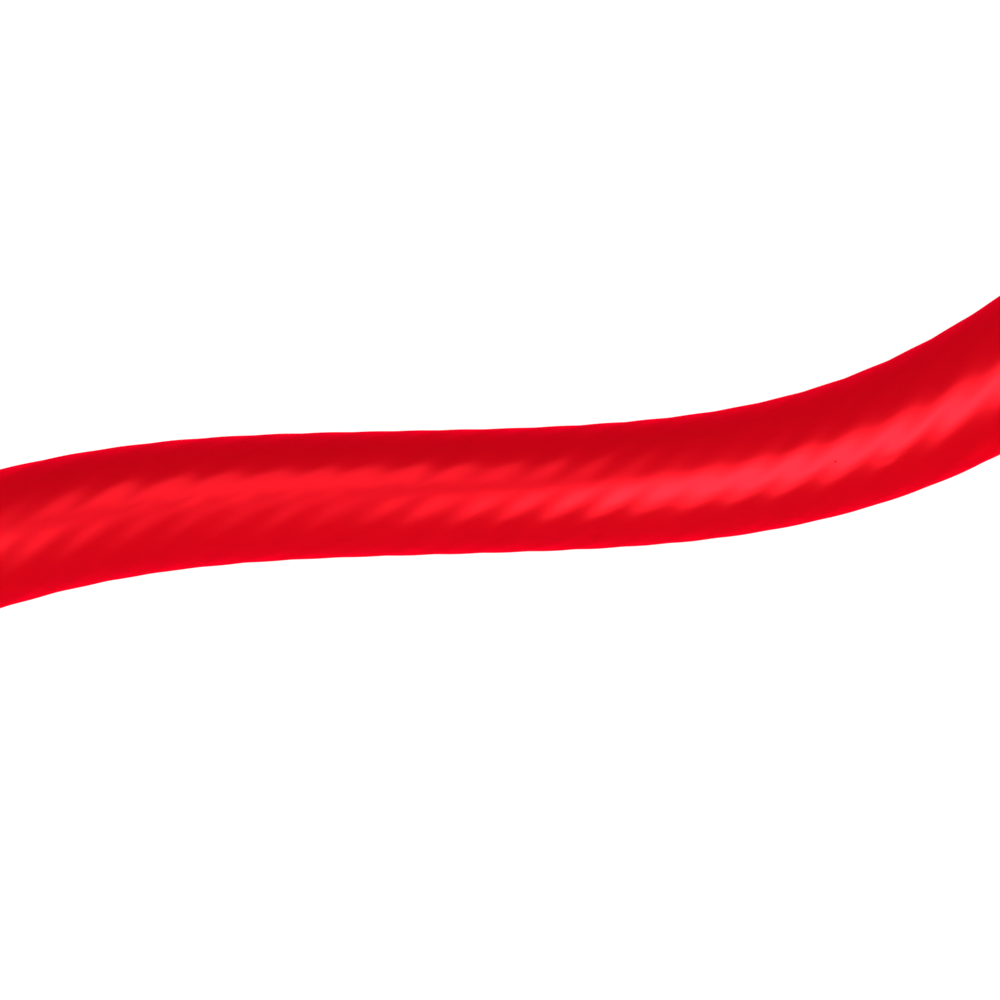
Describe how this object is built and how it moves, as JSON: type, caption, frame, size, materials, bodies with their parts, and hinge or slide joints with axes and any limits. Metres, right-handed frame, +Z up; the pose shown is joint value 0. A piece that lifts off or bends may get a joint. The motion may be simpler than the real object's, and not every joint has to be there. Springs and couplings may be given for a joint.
{
  "type": "microphone cable coil",
  "caption": "Balanced microphone cable with a pin connector and a socket connector, wound into a flat round coil and held by a hook-and-loop tie.",
  "frame": {"origin": "on the surface the cable lies on, in the middle of the box round the two connectors and the tie", "axes": "+Z up; both connectors' mating faces point along -X; the pin connector lies at +Y, the socket connector at -Y, and the coil at +X"},
  "size_m": [0.244, 0.115, 0.0256],
  "materials": {
    "jacket": "satin soft PVC, with the lay of the strands showing through",
    "shell": "satin nickel",
    "contact": "gold plated",
    "insert": "moulded",
    "collar": "fine grain",
    "boot": "soft matt",
    "chuck": "moulded",
    "spring": "plated",
    "core_white": "insulation",
    "core_blue": "insulation",
    "copper": "twisted strands",
    "solder": "bright",
    "strap": "looped pile",
    "buckle": "moulded"
  },
  "bodies": {
    "cable": {"cable_coil": "jacket", "cable_lead_male": "jacket", "cable_lead_female": "jacket", "male_shell": "shell", "male_insert": "insert", "male_pin_1": "contact", "male_pin_2": "contact", "male_pin_3": "contact", "male_ground_spring": "spring", "male_core_hot": "core_white", "male_core_cold": "core_blue", "male_shield_tail": "copper", "male_solder": "solder", "female_shell": "shell", "female_insert": "insert", "female_socket_1": "contact", "female_socket_2": "contact", "female_socket_3": "contact", "female_ground_spring": "spring", "female_latch_pin": "spring", "female_latch_spring": "spring", "female_nose_seal": "boot", "female_core_hot": "core_white", "female_core_cold": "core_blue", "female_shield_tail": "copper", "female_solder": "solder", "tie_strap": "strap", "tie_buckle": "buckle"},
    "male_clamp": {"male_chuck": "chuck"},
    "male_collar": {"male_collar": "collar", "male_boot": "boot"},
    "female_clamp": {"female_chuck": "chuck"},
    "female_collar": {"female_collar": "collar", "female_boot": "boot"},
    "latch": {"female_latch": "shell"}
  },
  "joints": [
    {"name": "latch_press", "type": "hinge", "parent": "cable", "child": "latch", "pos_m": [-0.025, -0.048, 0.0159], "axis": [0, -1, 0], "range_deg": [0, 3.2], "stiffness_Nm_per_rad": 0.3, "springref_deg": -2.86, "deforming": ["female_latch_spring"]},
    {"name": "male_clamp_slide", "type": "slide", "parent": "cable", "child": "male_clamp", "axis": [1, 0, 0], "range_m": [0, 0.003]},
    {"name": "male_collar_turn", "type": "hinge", "parent": "male_clamp", "child": "male_collar", "pos_m": [-0.08, 0.048, 0.0095], "axis": [1, 0, 0], "range_deg": [0, 1080]},
    {"name": "female_clamp_slide", "type": "slide", "parent": "cable", "child": "female_clamp", "axis": [1, 0, 0], "range_m": [0, 0.003]},
    {"name": "female_collar_turn", "type": "hinge", "parent": "female_clamp", "child": "female_collar", "pos_m": [-0.016, -0.048, 0.0095], "axis": [1, 0, 0], "range_deg": [0, 1080]}
  ],
  "couplings": [
    {"joint": "male_clamp_slide", "follows": "male_collar_turn", "m_per_rad": 0.00015915},
    {"joint": "female_clamp_slide", "follows": "female_collar_turn", "m_per_rad": 0.00015915}
  ]
}
